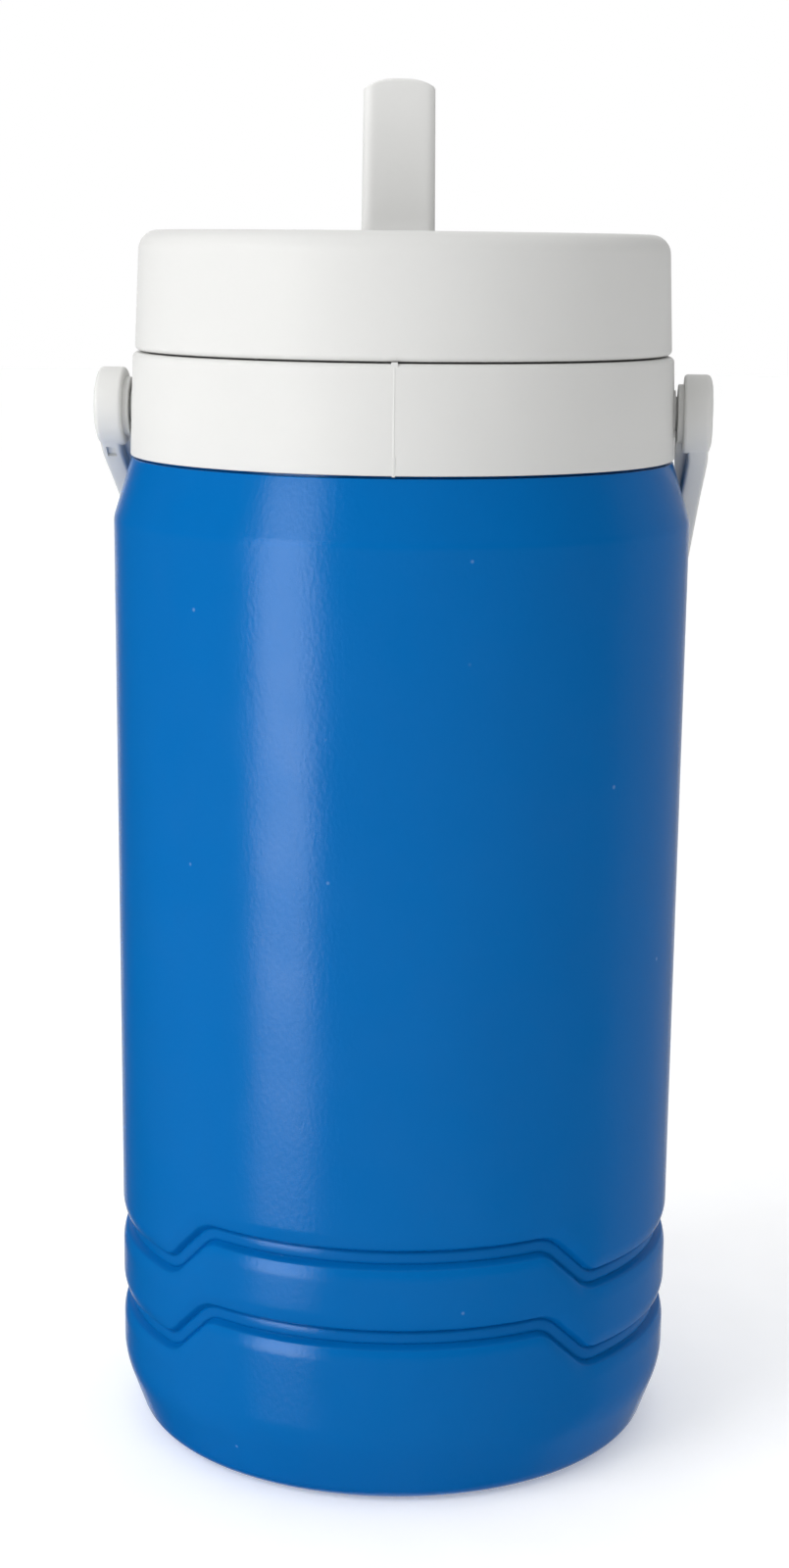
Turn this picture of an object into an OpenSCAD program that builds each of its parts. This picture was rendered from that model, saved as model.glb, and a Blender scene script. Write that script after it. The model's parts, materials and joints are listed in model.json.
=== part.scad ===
// Insulated half-gallon drinking jug: a foamed two-wall body, a screw lid with a
// flip-up spout, and a bail handle that swings over the top.
// Millimetres, +Z up. The origin is the centre of the base, on the floor.
// The bail pivots lie along X, and the bail hangs behind the body, towards +Y.

/* [Body] */
// Radius of the wall just under the shoulder
body_r = 68.2; // [67:0.1:69]
// Radius of the wall just above the base
body_low_r = 67.4; // [66.6:0.1:68]
// Height where the wall turns into the shoulder
shoulder_z = 222.6; // [215:0.2:226]
// Thickness of the outer wall
shell_wall = 2.8; // [2.6:0.1:3]
// Radius of the hole that the foam is poured through
fill_hole_r = 12; // [8:0.5:15]

/* [Grooves] */
// Height of the upper groove where it is raised, at the front and back
upper_groove_z = 61; // [58:0.5:66]
// Distance down to the lower groove
groove_spacing = 19.2; // [16:0.2:22]
// How far each groove drops on its way round to the sides
groove_step = 11.2; // [8:0.2:13]
// Width of a groove
groove_w = 5.4; // [4:0.2:7]
// Depth of a groove
groove_depth = 1.8; // [1:0.1:1.9]

/* [Liner] */
// Inner radius of the liner
liner_r = 51.5; // [48:0.5:52]
// Height of the liner's inner floor
liner_floor_z = 16; // [14:0.5:24]
// Inner radius of the neck
mouth_r = 44; // [40:0.5:44]
// Height of the neck's rim
rim_z = 279; // [278:0.2:279.4]

/* [Collar and bail] */
// Outer radius of the collar at its lower edge
collar_r = 64.2; // [64:0.1:64.6]
// Height of the collar's lower edge
collar_z = 237.2; // [236.9:0.1:238]
// Height of the collar's top face
collar_top_z = 261; // [259.8:0.1:261]
// Height of the bail's pivots
pivot_z = 247.8; // [247:0.1:249.5]
// Angle between the hanging bail and straight down
bail_hang = 50; // [48:1:58]
// Width of the bail's strap
bail_w = 14.3; // [12:0.1:16]
// Thickness of the bail's strap
bail_t = 4.8; // [4:0.1:5.2]
// Distance from the pivots to the inner face of the grip
grip_reach = 96.4; // [96:0.2:104]

/* [Lid] */
// Outer radius of the lid at its lower edge
lid_r = 63; // [62.6:0.1:63.2]
// Height of the lid's lower edge
lid_z = 261.4; // [261.2:0.1:262]
// Height of the lid's top
lid_top_z = 288.9; // [288.6:0.1:290]
// Turn of the lid about the jug's axis when it is screwed tight
lid_angle = 8.6; // [0:0.1:20]
// Rise of the lid in one turn
thread_lead = 12; // [12:0.5:14]

/* [Spout] */
// Width of the spout at its hinge
spout_w = 17.4; // [16:0.1:18.6]
// Width of the spout at its tip
spout_tip_w = 16.7; // [15:0.1:18]
// Depth of the spout from front to back
spout_d = 9.4; // [8.6:0.1:9.6]
// Distance from the spout's hinge to its tip
spout_len = 42.4; // [36:0.2:44]
// Distance of the spout's hinge from the jug's axis
hinge_y = 21; // [20:0.5:24]
// Height of the spout's hinge
hinge_z = 282.6; // [282.4:0.1:282.8]

/* [Hidden] */

round_fn = 180;    // facets shown on the jug's large turned surfaces
small_fn = 48;     // facets shown on pins, bores and small tubes
arc_steps = 6;     // straight runs in one rounded corner of an outline
past = 1;          // how far a cutter runs past the face that it opens
skin_gap = 0.2;    // space round a foam block

// Shell and base
base_recess = 1.5;
foot_r = 45;
foot_step = 1.5;
foot_round = 0.6;
heel_r = 61.6;          // where the sloping heel would meet the floor
heel_round = 5.8;
heel_top_z = 15.7;
heel_top_round = 22;
heel_taper = 0.1;
waist_z = 62;           // the wall is upright below this height and widens above it
shoulder_round = 7;
ledge_round = 1;
ledge_step = 0.3;
neck_play = 0.4;        // how much thinner the shell's wall is inside its neck
plug_r = 20;
plug_fit = 0.1;
barb = 0.6;
shell_floor_z = 4.3;
floor_inside_r = 59.8;
floor_inside_round = 3;
heel_inside_z = 16.2;
heel_inside_round = 18;
shoulder_inside_round = 5;
ledge_inset = 2;
shell_neck_r = 58.5;
shell_neck_top_z = 256;
ledge_z = collar_z - skin_gap;
ledge_r = collar_r - ledge_step;
inside_r = body_r - shell_wall;
inside_low_r = body_low_r - shell_wall;
neck_inside_r = shell_neck_r - shell_wall + neck_play;

// Grooves
raised_half = 36.5;     // degrees each side of the front that stay at the raised height
lowered_from = 47.5;    // degrees from the front where the lowered height begins
ramp_mid = (raised_half + lowered_from) / 2;
ramp_run = body_low_r * (lowered_from - raised_half) * PI / 180;
ramp_slope = atan(groove_step / ramp_run);
ramp_len = norm([groove_step, ramp_run]);

// Liner and neck
liner_wall = 2;
liner_heel_round = 10;
liner_shoulder_round = 5;
neck_wall = 3;
neck_r = mouth_r + neck_wall;
neck_bottom_z = 240;
neck_round = 3;
liner_shoulder_z = neck_bottom_z - 7;
rim_round = 0.8;
bead_z = 255;
bead_t = 2.7;
bead_r = neck_r + 3.5;
bead_round = 0.5;

// Threads
thread_starts = 2;
thread_sweep = 270;
thread_root_w = 2.6;
thread_crest_w = 1.4;
thread_bite = 0.6;      // how far a thread's root is sunk in its wall
neck_crest_r = neck_r + 2.2;
skirt_r = neck_r + 3;
skirt_crest_r = neck_r + 0.7;
neck_thread_z = 266.5;
lid_thread_z = neck_thread_z - thread_lead / thread_starts / 2;
thread_steps = 30;

// Collar and bail
collar_wall = 2.6;
collar_taper = 0.7;
collar_edge_round = 0.3;
collar_top_round = 0.8;
collar_gap = 0.3;
collar_relief = 0.4;    // how deep the inside of each pad is cleared
collar_relief_w = 4;
flange_t = 2.4;
rib_count = 12;
rib_w = 1.6;
pad_r = 5.5;
pad_x = 64.1;
stud_r = 4;
stud_play = 0.05;
stud_head_r = 4.8;
stud_head_t = 1.5;
stud_head_x = collar_r - collar_wall - 0.6;
hub_r = 6.9;
hub_x = pad_x + 0.5;
disc_r = 9.2;
disc_x = 66;
disc_out_x = 72;
disc_round = 1;
dome = 0.7;
dome_in = 2.2;
dome_round = 3;
arm_x = 72.2;
arm_straight = 8;
arm_lean = 0.062;       // how far an arm leans in for each millimetre of its length
bail_bend = 30;
arm_pocket_w = 2.1;
arm_pocket_depth = 0.9;
arm_pocket_from = 5;
arm_pocket_to = 9;
web_x = 64.5;
web_w = 10;
web_straight = 14;
web_end = 26;           // where the web has run out into the arm
grip_out = grip_reach + bail_t;
grip_x = arm_x - arm_lean * (grip_out - arm_straight);

// Lid
cover_wall = 2.5;
lid_upper_r = lid_r - 1.1;
lid_edge_round = 4.6;
lid_low_round = 0.7;
lid_inside_round = 2;
lid_gap = 0.3;
deck_bite = 0.5;        // how far the pocket's walls are sunk in the deck
deck_z = lid_top_z - cover_wall;
plug_wall_r = mouth_r - 1;
plug_floor_z = 268;
plug_t = 2;
flange_z = 281;
flange_r = 59.5;
skirt_wall = 2.5;
skirt_z = 262;
skirt_round = 0.6;
pan_round = 2;
pan_inside_round = 1;
weld_rib_r = 55;
weld_rib_w = 2;

// Spout, its pocket and its port
barrel_r = 6;
barrel_gap = 0.3;
trunnion_r = 2.5;
trunnion_play = 0.06;
trunnion_end_gap = 0.2;
trunnion_x = 11.2;
pocket_w = spout_w + 0.9;
pocket_wall = 3;
pocket_floor_z = 277.1;
pocket_floor_t = 2.1;
pocket_front_y = hinge_y - spout_len - 4;
pocket_back_y = hinge_y + barrel_r + 1.5;
well_r = 13.5;
well_wall = 2;
well_z = 281.9;
well_y = hinge_y - spout_len + 2;
port_boss_r = 8.5;
port_boss_z = 271;
port_hole_r = 5.6;
port_r = 3.2;
seal_gap = 0.05;
gasket_inset = 0.4;
port_tube_top_z = 273;
arch_rise = 3.2;
arch_round = 12;
arch_trim = 0.7;        // height that rounding the arch takes off its peak
tip_round = 2;
channel_w = 11;
channel_d = 5.2;
valve_y = -5;
vent_r = 1;
valve_r = 1.8;
valve_room = 1;
valve_core_r = 0.6;
valve_flap_r = 4.5;
valve_barb = 0.6;
tube_flange_t = 1.6;
tube_flange_w = 2.5;

function unit(v) = v / norm(v);

// Points of the arc that rounds corner b of an outline running a, b, c
function corner(a, b, c, r) =
    let (u = unit(a - b),
        v = unit(c - b),
        half = acos(u * v) / 2,
        centre = b + unit(u + v) * r / sin(half),
        first = b + u * r / tan(half) - centre,
        last = b + v * r / tan(half) - centre,
        from = atan2(first.y, first.x),
        turn = atan2(last.y, last.x) - from,
        sweep = turn > 180 ? turn - 360 : turn < -180 ? turn + 360 : turn)
    [for (i = [0 : arc_steps])
        centre + r * [cos(from + sweep * i / arc_steps), sin(from + sweep * i / arc_steps)]];

// An outline from points [x, y, corner radius]
function rounded(points) =
    let (n = len(points))
    [for (i = [0 : n - 1])
        let (p = points[i],
            before = points[(i + n - 1) % n],
            after = points[(i + 1) % n])
        each p[2] == 0
            ? [[p.x, p.y]]
            : corner([before.x, before.y], [p.x, p.y], [after.x, after.y], p[2])];

// A solid turned about Z from points [radius, height, corner radius]
module turned(points) {
    rotate_extrude($fn = round_fn) polygon(rounded(points));
}

// A round rod along X, centred on the origin
module rod_x(r, h) {
    rotate([0, 90, 0]) cylinder(r = r, h = h, center = true, $fn = small_fn);
}

// Puts its children where the lid's turn puts them
module on_lid() {
    rotate([0, 0, lid_angle]) children();
}

// One thread ridge, which rises with the lead and fades in at both ends
module thread(wall_r, crest_r, z, start) {
    rings = [for (i = [0 : thread_steps])
        let (angle = thread_sweep * i / thread_steps,
            fade = min(1, i / 2 + 0.15, (thread_steps - i) / 2 + 0.15),
            crest = wall_r + (crest_r - wall_r) * fade,
            mid = z + thread_lead * angle / 360,
            section = [[wall_r, mid - thread_root_w / 2], [crest, mid - thread_crest_w / 2],
                [crest, mid + thread_crest_w / 2], [wall_r, mid + thread_root_w / 2]])
        [for (p = section) [p[0] * cos(angle + start), p[0] * sin(angle + start), p[1]]]];
    corners = len(rings[0]);
    // The faces wind the other way when the ridge stands inwards
    outward = crest_r > wall_r;
    sides = [for (i = [0 : thread_steps - 1])
        for (k = [0 : corners - 1])
        let (next = (k + 1) % corners,
            quad = [i * corners + k, i * corners + next, (i + 1) * corners + next,
                (i + 1) * corners + k])
        each outward
            ? [[quad[0], quad[1], quad[2]], [quad[0], quad[2], quad[3]]]
            : [[quad[2], quad[1], quad[0]], [quad[3], quad[2], quad[0]]]];
    first = [for (k = [0 : corners - 1]) outward ? corners - 1 - k : k];
    last = [for (k = [0 : corners - 1]) thread_steps * corners + corners - 1 - first[k]];
    polyhedron(points = [for (ring = rings) each ring], faces = concat(sides, [first, last]));
}

// Part of a groove's cutter at one height, from angle - half to angle + half
module groove_level(z, angle, half) {
    rotate([0, 0, angle - half])
        rotate_extrude(angle = 2 * half, $fn = round_fn)
            translate([inside_low_r - past, z - groove_w / 2])
                square([shell_wall + 2 * past, groove_w]);
}

// Sloping part of a groove's cutter, with round ends
module groove_ramp(z, angle, side) {
    reach = shell_wall + 3 * past;
    rotate([0, 0, angle])
        translate([inside_low_r - past + reach / 2, 0, z])
            rotate([-side * ramp_slope, 0, 0]) {
                cube([reach, ramp_len, groove_w * 0.96], center = true);
                for (end = [-1, 1])
                    translate([0, end * ramp_len / 2, 0])
                        rod_x(groove_w * 0.53, reach);
            }
}

// The cutter for one groove: raised at the front and back, lowered at the sides
module groove(raised_z) {
    difference() {
        union() {
            for (facing = [-90, 90]) {
                groove_level(raised_z, facing, raised_half);
                groove_level(raised_z - groove_step, facing + 90, 90 - lowered_from);
                for (side = [-1, 1])
                    groove_ramp(raised_z - groove_step / 2, facing + side * ramp_mid, side);
            }
        }
        translate([0, 0, raised_z - 2 * groove_step])
            cylinder(r = body_low_r - groove_depth, h = 3 * groove_step, $fn = round_fn);
    }
}

module outer_shell() {
    color("royalblue")
    difference() {
        turned([
            [fill_hole_r, base_recess, 0],
            [foot_r, base_recess, foot_round],
            [foot_r + foot_step, 0, foot_round],
            [heel_r, 0, heel_round],
            [body_low_r - heel_taper, heel_top_z, heel_top_round],
            [body_low_r, waist_z, 0],
            [body_r, shoulder_z, shoulder_round],
            [ledge_r, ledge_z, ledge_round],
            [shell_neck_r, ledge_z, 0],
            [shell_neck_r, shell_neck_top_z, 0],
            [neck_inside_r, shell_neck_top_z, 0],
            [neck_inside_r, ledge_z - shell_wall, 0],
            [ledge_r - ledge_inset, ledge_z - shell_wall, ledge_inset],
            [inside_r, shoulder_z, shoulder_inside_round],
            [inside_low_r, waist_z, 0],
            [inside_low_r - heel_taper, heel_inside_z, heel_inside_round],
            [floor_inside_r, shell_floor_z, floor_inside_round],
            [fill_hole_r, shell_floor_z, 0]
        ]);
        groove(upper_groove_z);
        groove(upper_groove_z - groove_spacing);
    }
}

// Closes the hole that the foam is poured through, flush with the foot
module base_plug() {
    stem_r = fill_hole_r - plug_fit;
    barb_r = fill_hole_r + barb;
    barb_top_z = shell_floor_z + 2.5;
    color("mediumblue")
    turned([
        [0, 0, 0],
        [plug_r, 0, foot_round],
        [plug_r, base_recess, 0],
        [stem_r, base_recess, 0],
        [stem_r, shell_floor_z + plug_fit, 0],
        [barb_r, shell_floor_z + plug_fit, 0],
        [stem_r - 1, barb_top_z, 0],
        [0, barb_top_z, 0]
    ]);
}

// Rigid foam poured between the shell and the liner
module insulation_foam() {
    outer_liner_r = liner_r + liner_wall + skin_gap;
    under_z = shell_floor_z + skin_gap;
    top_z = ledge_z - shell_wall - skin_gap;
    liner_under_z = liner_floor_z - liner_wall - skin_gap;
    color("moccasin")
    difference() {
        turned([
            [0, under_z, 0],
            [floor_inside_r - skin_gap, under_z, floor_inside_round],
            [inside_low_r - heel_taper - skin_gap, heel_inside_z + skin_gap, heel_inside_round],
            [inside_low_r - skin_gap, waist_z, 0],
            [inside_r - skin_gap, shoulder_z, shoulder_inside_round],
            [ledge_r - ledge_inset - skin_gap, top_z, ledge_inset],
            [neck_inside_r - skin_gap, top_z, 0],
            [neck_inside_r - skin_gap, bead_z - skin_gap, 0],
            [neck_r + skin_gap, bead_z - skin_gap, 0],
            [neck_r + skin_gap, neck_bottom_z, neck_round],
            [outer_liner_r, liner_shoulder_z, liner_shoulder_round],
            [outer_liner_r, liner_under_z, liner_heel_round + liner_wall],
            [0, liner_under_z, 0]
        ]);
        translate([0, 0, shell_floor_z])
            cylinder(r = fill_hole_r + 1, h = 3, $fn = small_fn);
    }
}

// Blow-moulded liner that holds the drink, with its neck thread
module inner_liner() {
    color("whitesmoke")
    union() {
        turned([
            [0, liner_floor_z - liner_wall, 0],
            [liner_r + liner_wall, liner_floor_z - liner_wall, liner_heel_round + liner_wall],
            [liner_r + liner_wall, liner_shoulder_z, liner_shoulder_round],
            [neck_r, neck_bottom_z, neck_round],
            [neck_r, bead_z, 0],
            [bead_r, bead_z, bead_round],
            [bead_r, bead_z + bead_t, bead_round],
            [neck_r, bead_z + bead_t, 0],
            [neck_r, rim_z, rim_round],
            [mouth_r, rim_z, rim_round],
            [mouth_r, neck_bottom_z - 1, neck_round],
            [liner_r, liner_shoulder_z - 1, liner_shoulder_round],
            [liner_r, liner_floor_z, liner_heel_round],
            [0, liner_floor_z, 0]
        ]);
        for (k = [0 : thread_starts - 1])
            thread(neck_r - thread_bite, neck_crest_r, neck_thread_z, 360 * k / thread_starts);
    }
}

// Ring that caps the shell and carries the bail on two pads
module collar() {
    inner_r = collar_r - collar_wall;
    under_z = collar_top_z - flange_t;
    color("white")
    difference() {
        union() {
            turned([
                [collar_r, collar_z, collar_edge_round],
                [collar_r - collar_taper, collar_top_z, collar_top_round],
                [neck_r + collar_gap, collar_top_z, collar_edge_round],
                [neck_r + collar_gap, under_z, 0],
                [inner_r - collar_edge_round, under_z, collar_top_round],
                [inner_r, collar_z, 0]
            ]);
            // Ribs that centre the collar on the shell, clear of the pivots
            for (k = [0 : rib_count - 1])
                rotate([0, 0, (k + 0.5) * 360 / rib_count])
                    translate([shell_neck_r + plug_fit, -rib_w / 2, collar_z + collar_gap])
                        cube([inner_r - shell_neck_r + collar_wall / 4, rib_w, under_z - collar_z]);
            for (side = [-1, 1])
                translate([side * (inner_r + pad_x) / 2, 0, pivot_z])
                    rod_x(pad_r, pad_x - inner_r);
        }
        // Space inside each pad, flush with the collar's inner wall
        translate([0, 0, collar_z - past])
            difference() {
                cylinder(r = inner_r - collar_relief, h = under_z - collar_z + past, $fn = round_fn);
                cylinder(r = inner_r - collar_relief_w, h = under_z - collar_z + past, $fn = round_fn);
                for (k = [0 : rib_count - 1])
                    rotate([0, 0, (k + 0.5) * 360 / rib_count])
                        translate([0, -rib_w, 0]) cube([inner_r, 2 * rib_w, collar_top_z]);
            }
        translate([0, 0, pivot_z]) rod_x(stud_r + stud_play, 2 * (pad_x + past));
    }
}

// The bail's strap as a flat outline: across is X, along is away from the pivots
function strap(inset, from) =
    rounded([
        [arm_x - inset, from, 0],
        [arm_x - inset, arm_straight, 0],
        [grip_x - inset, grip_out - inset, bail_bend - inset],
        [-grip_x + inset, grip_out - inset, bail_bend - inset],
        [-arm_x + inset, arm_straight, 0],
        [-arm_x + inset, from, 0]
    ]);

// The bail's strap, bent to its shape
module strap_blank() {
    linear_extrude(height = bail_w, center = true)
        difference() {
            polygon(strap(0, 0));
            polygon(strap(bail_t, -past));
        }
}

// Small moulded pockets in both edges of the arm at -X, beside its disc
module arm_pockets() {
    length = arm_pocket_to - arm_pocket_from;
    for (face = [-1, 1])
        translate([
            bail_t / 2 - arm_x,
            arm_pocket_from + length / 2,
            face * (bail_w / 2 - arm_pocket_depth / 2 + past / 2)
        ])
            cube([arm_pocket_w, length, arm_pocket_depth + past], center = true);
}

// End disc of the bail with its hub and the stud that snaps into the collar
module bail_end() {
    chamfer = 0.9;
    rotate([0, 90, 0])
        turned([
            [0, stud_head_x - stud_head_t, 0],
            [stud_head_r - chamfer, stud_head_x - stud_head_t, 0],
            [stud_head_r, stud_head_x - stud_head_t + chamfer, 0],
            [stud_head_r, stud_head_x, 0],
            [stud_r, stud_head_x, 0],
            [stud_r, hub_x, 0],
            [hub_r, hub_x, 0],
            [hub_r, disc_x, 0],
            [disc_r, disc_x, 0],
            [disc_r, disc_out_x, disc_round],
            [disc_r - dome_in, disc_out_x + dome, dome_round],
            [0, disc_out_x + dome, 0]
        ]);
}

// Web on the inside of an arm, which runs from the hub out into the strap
module arm_web() {
    inside_x = arm_x - bail_t;
    linear_extrude(height = web_w, center = true)
        polygon([
            [web_x, 0],
            [web_x, web_straight],
            [inside_x - arm_lean * (web_end - arm_straight), web_end],
            [inside_x + 1, web_end],
            [inside_x + 1, 0]
        ]);
}

module bail_handle() {
    color("white")
    translate([0, 0, pivot_z])
        rotate([bail_hang - 90, 0, 0])
            union() {
                difference() {
                    strap_blank();
                    arm_pockets();
                }
                for (side = [0, 1])
                    mirror([side, 0, 0]) {
                        arm_web();
                        bail_end();
                    }
            }
}

// Outside of the pocket, the finger well and the port boss, grown all round by extra
module pocket_body(extra) {
    wall = pocket_wall + extra;
    floor_z = pocket_floor_z - pocket_floor_t - extra;
    translate([-pocket_w / 2 - wall, pocket_front_y - wall, floor_z])
        cube([pocket_w + 2 * wall, pocket_back_y - pocket_front_y + 2 * wall, deck_z + deck_bite - floor_z]);
    translate([0, well_y, well_z - well_wall - extra])
        cylinder(r = well_r + well_wall + extra, h = deck_z + deck_bite - well_z + well_wall + extra,
            $fn = small_fn);
    translate([0, hinge_y, port_boss_z - extra])
        cylinder(r = port_boss_r + extra, h = pocket_floor_z - port_boss_z, $fn = small_fn);
}

module lid_cover() {
    color("white")
    on_lid()
    difference() {
        union() {
            turned([
                [lid_r, lid_z, lid_low_round],
                [lid_upper_r, lid_top_z, lid_edge_round],
                [0, lid_top_z, 0],
                [0, deck_z, 0],
                [weld_rib_r, deck_z, 0],
                [weld_rib_r, flange_z + plug_t, 0],
                [weld_rib_r + weld_rib_w, flange_z + plug_t, 0],
                [weld_rib_r + weld_rib_w, deck_z, 0],
                [flange_r + lid_gap, deck_z, lid_inside_round],
                [flange_r + lid_gap, flange_z, 0],
                [lid_r - cover_wall, lid_z, 0]
            ]);
            pocket_body(0);
        }
        translate([-pocket_w / 2, pocket_front_y, pocket_floor_z])
            cube([pocket_w, pocket_back_y - pocket_front_y, lid_top_z]);
        translate([0, well_y, well_z])
            cylinder(r = well_r, h = lid_top_z, $fn = small_fn);
        translate([0, hinge_y, hinge_z]) {
            rod_x(barrel_r + barrel_gap, pocket_w);
            rod_x(trunnion_r + trunnion_play, 2 * (trunnion_x + trunnion_end_gap));
        }
        translate([0, hinge_y, port_boss_z - past])
            cylinder(r = port_hole_r, h = hinge_z - port_boss_z, $fn = small_fn);
        translate([0, valve_y, pocket_floor_z - pocket_floor_t - past])
            cylinder(r = vent_r, h = 2 * past + pocket_floor_t, $fn = small_fn);
    }
}

// Underside of the lid: a plug that drops into the neck, a flange and the threaded skirt
module lid_pan() {
    color("white")
    on_lid()
    difference() {
        union() {
            turned([
                [0, plug_floor_z, 0],
                [plug_wall_r, plug_floor_z, pan_round],
                [plug_wall_r, flange_z, 0],
                [skirt_r, flange_z, 0],
                [skirt_r, skirt_z, skirt_round],
                [skirt_r + skirt_wall, skirt_z, skirt_round],
                [skirt_r + skirt_wall, flange_z, pan_inside_round],
                [flange_r, flange_z, 0],
                [flange_r, flange_z + plug_t, 0],
                [plug_wall_r - plug_t, flange_z + plug_t, 0],
                [plug_wall_r - plug_t, plug_floor_z + plug_t, pan_inside_round],
                [0, plug_floor_z + plug_t, 0]
            ]);
            for (k = [0 : thread_starts - 1])
                thread(skirt_r + thread_bite, skirt_crest_r, lid_thread_z, 360 * k / thread_starts);
        }
        translate([0, hinge_y, plug_floor_z - past])
            cylinder(r = port_hole_r, h = plug_t + 2 * past, $fn = small_fn);
        translate([0, valve_y, plug_floor_z - past])
            cylinder(r = valve_r + plug_fit, h = plug_t + 2 * past, $fn = small_fn);
    }
}

// Foam that fills the lid's plug round the spout's pocket
module lid_foam() {
    color("moccasin")
    on_lid()
    difference() {
        turned([
            [0, plug_floor_z + plug_t + skin_gap, 0],
            [plug_wall_r - plug_t - skin_gap, plug_floor_z + plug_t + skin_gap, pan_round],
            [plug_wall_r - plug_t - skin_gap, deck_z - skin_gap, 0],
            [0, deck_z - skin_gap, 0]
        ]);
        pocket_body(skin_gap);
        translate([0, hinge_y, plug_floor_z])
            cylinder(r = port_hole_r + skin_gap, h = 2 * port_hole_r, $fn = small_fn);
        translate([0, valve_y, plug_floor_z])
            cylinder(r = valve_r + valve_room, h = 2 * port_hole_r, $fn = small_fn);
    }
}

// Flat ring under the lid's flange that seals on the neck's rim
module lid_gasket() {
    color("dimgray")
    turned([
        [mouth_r - gasket_inset, rim_z + seal_gap, 0],
        [skirt_r - gasket_inset, rim_z + seal_gap, 0],
        [skirt_r - gasket_inset, flange_z - seal_gap, 0],
        [mouth_r - gasket_inset, flange_z - seal_gap, 0]
    ]);
}

// Tube that leads the drink from the lid's underside up to the spout's seal
module port_tube() {
    tube_r = port_hole_r - plug_fit;
    color("white")
    on_lid()
    translate([0, hinge_y, 0])
        turned([
            [port_r, plug_floor_z - tube_flange_t, 0],
            [tube_r + tube_flange_w, plug_floor_z - tube_flange_t, collar_edge_round],
            [tube_r + tube_flange_w, plug_floor_z - seal_gap, 0],
            [tube_r, plug_floor_z - seal_gap, 0],
            [tube_r, port_tube_top_z, 0],
            [port_r, port_tube_top_z, 0]
        ]);
}

// Soft ring that presses up against the spout's barrel
module spout_seal() {
    base_z = port_tube_top_z + seal_gap;
    color("dimgray")
    on_lid()
    translate([0, hinge_y, 0])
        difference() {
            translate([0, 0, base_z])
                cylinder(r = port_hole_r - plug_fit, h = pocket_floor_z - base_z, $fn = small_fn);
            translate([0, 0, base_z - past])
                cylinder(r = port_r, h = pocket_floor_z, $fn = small_fn);
            translate([0, 0, hinge_z]) rod_x(barrel_r + seal_gap, pocket_w);
        }
}

// Soft valve that lets air in under the lid while the jug is tipped
module air_valve() {
    flap_z = plug_floor_z - 1.1;
    barb_z = plug_floor_z + plug_t + seal_gap;
    top_z = plug_floor_z + plug_t + 1.4;
    color("dimgray")
    on_lid()
    translate([0, valve_y, 0])
        turned([
            [valve_core_r, flap_z, 0],
            [valve_flap_r, flap_z + 0.5, 0],
            [valve_flap_r, plug_floor_z - seal_gap, 0],
            [valve_r, plug_floor_z - seal_gap, 0],
            [valve_r, barb_z, 0],
            [valve_r + valve_barb, barb_z, 0],
            [valve_r, top_z, 0],
            [valve_core_r, top_z, 0]
        ]);
}

// Hollow spout on a barrel hinge, standing up
module spout() {
    half = spout_w / 2;
    tip_half = spout_tip_w / 2;
    arch_foot = spout_len - arch_rise + arch_trim;
    color("gainsboro")
    on_lid()
    translate([0, hinge_y, hinge_z])
        difference() {
            union() {
                rod_x(barrel_r, spout_w);
                rod_x(trunnion_r, 2 * trunnion_x);
                rotate([90, 0, 0])
                    linear_extrude(height = spout_d, center = true)
                        polygon(rounded([
                            [-half, 0, 0],
                            [half, 0, 0],
                            [tip_half, arch_foot, tip_round],
                            [0, spout_len + arch_trim, arch_round],
                            [-tip_half, arch_foot, tip_round]
                        ]));
            }
            translate([0, 0, channel_d / 2])
                linear_extrude(height = spout_len) {
                    square([channel_w - channel_d, channel_d], center = true);
                    for (side = [-1, 1])
                        translate([side * (channel_w - channel_d) / 2, 0])
                            circle(d = channel_d, $fn = small_fn);
                }
            translate([0, 0, -barrel_r - past])
                cylinder(r = channel_d / 2, h = barrel_r + channel_d, $fn = small_fn);
        }
}

outer_shell();
base_plug();
insulation_foam();
inner_liner();
collar();
bail_handle();
lid_cover();
lid_pan();
lid_foam();
lid_gasket();
port_tube();
spout_seal();
air_valve();
spout();
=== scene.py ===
"""The looks of an insulated half-gallon jug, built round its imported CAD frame.

Everything is in the row frame: the jug stands on z = 0, its axis is the Z axis, the bail's
pivots lie along X and the camera looks from -Y. Sizes below are in millimetres, and the
mesh helpers turn them into metres.
"""
import json
import math

import bmesh
import bpy
from mathutils import Matrix, Vector


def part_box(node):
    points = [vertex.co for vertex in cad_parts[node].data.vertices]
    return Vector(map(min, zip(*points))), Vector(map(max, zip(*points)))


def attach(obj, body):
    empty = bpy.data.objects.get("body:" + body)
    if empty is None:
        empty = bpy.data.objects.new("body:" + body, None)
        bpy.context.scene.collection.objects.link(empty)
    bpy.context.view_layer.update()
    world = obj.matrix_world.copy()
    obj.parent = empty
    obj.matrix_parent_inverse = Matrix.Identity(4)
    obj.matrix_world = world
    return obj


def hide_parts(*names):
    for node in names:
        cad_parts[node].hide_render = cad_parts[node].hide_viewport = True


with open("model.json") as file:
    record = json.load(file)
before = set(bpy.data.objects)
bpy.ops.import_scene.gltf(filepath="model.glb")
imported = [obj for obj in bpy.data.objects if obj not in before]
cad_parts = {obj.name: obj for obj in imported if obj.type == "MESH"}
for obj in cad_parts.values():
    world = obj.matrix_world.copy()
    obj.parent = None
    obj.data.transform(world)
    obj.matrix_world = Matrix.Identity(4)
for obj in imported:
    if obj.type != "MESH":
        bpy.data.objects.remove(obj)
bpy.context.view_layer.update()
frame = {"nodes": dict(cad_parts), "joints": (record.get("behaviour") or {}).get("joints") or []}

MM = 0.001


# ---------------------------------------------------------------- sizes, from the frame

def joint(name):
    """The frame's joint of that name."""
    return next(j for j in frame["joints"] if j["name"] == name)


def mm_box(node):
    """The lowest and highest corner of a CAD node, in millimetres."""
    low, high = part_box(node)
    return low / MM, high / MM


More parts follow.
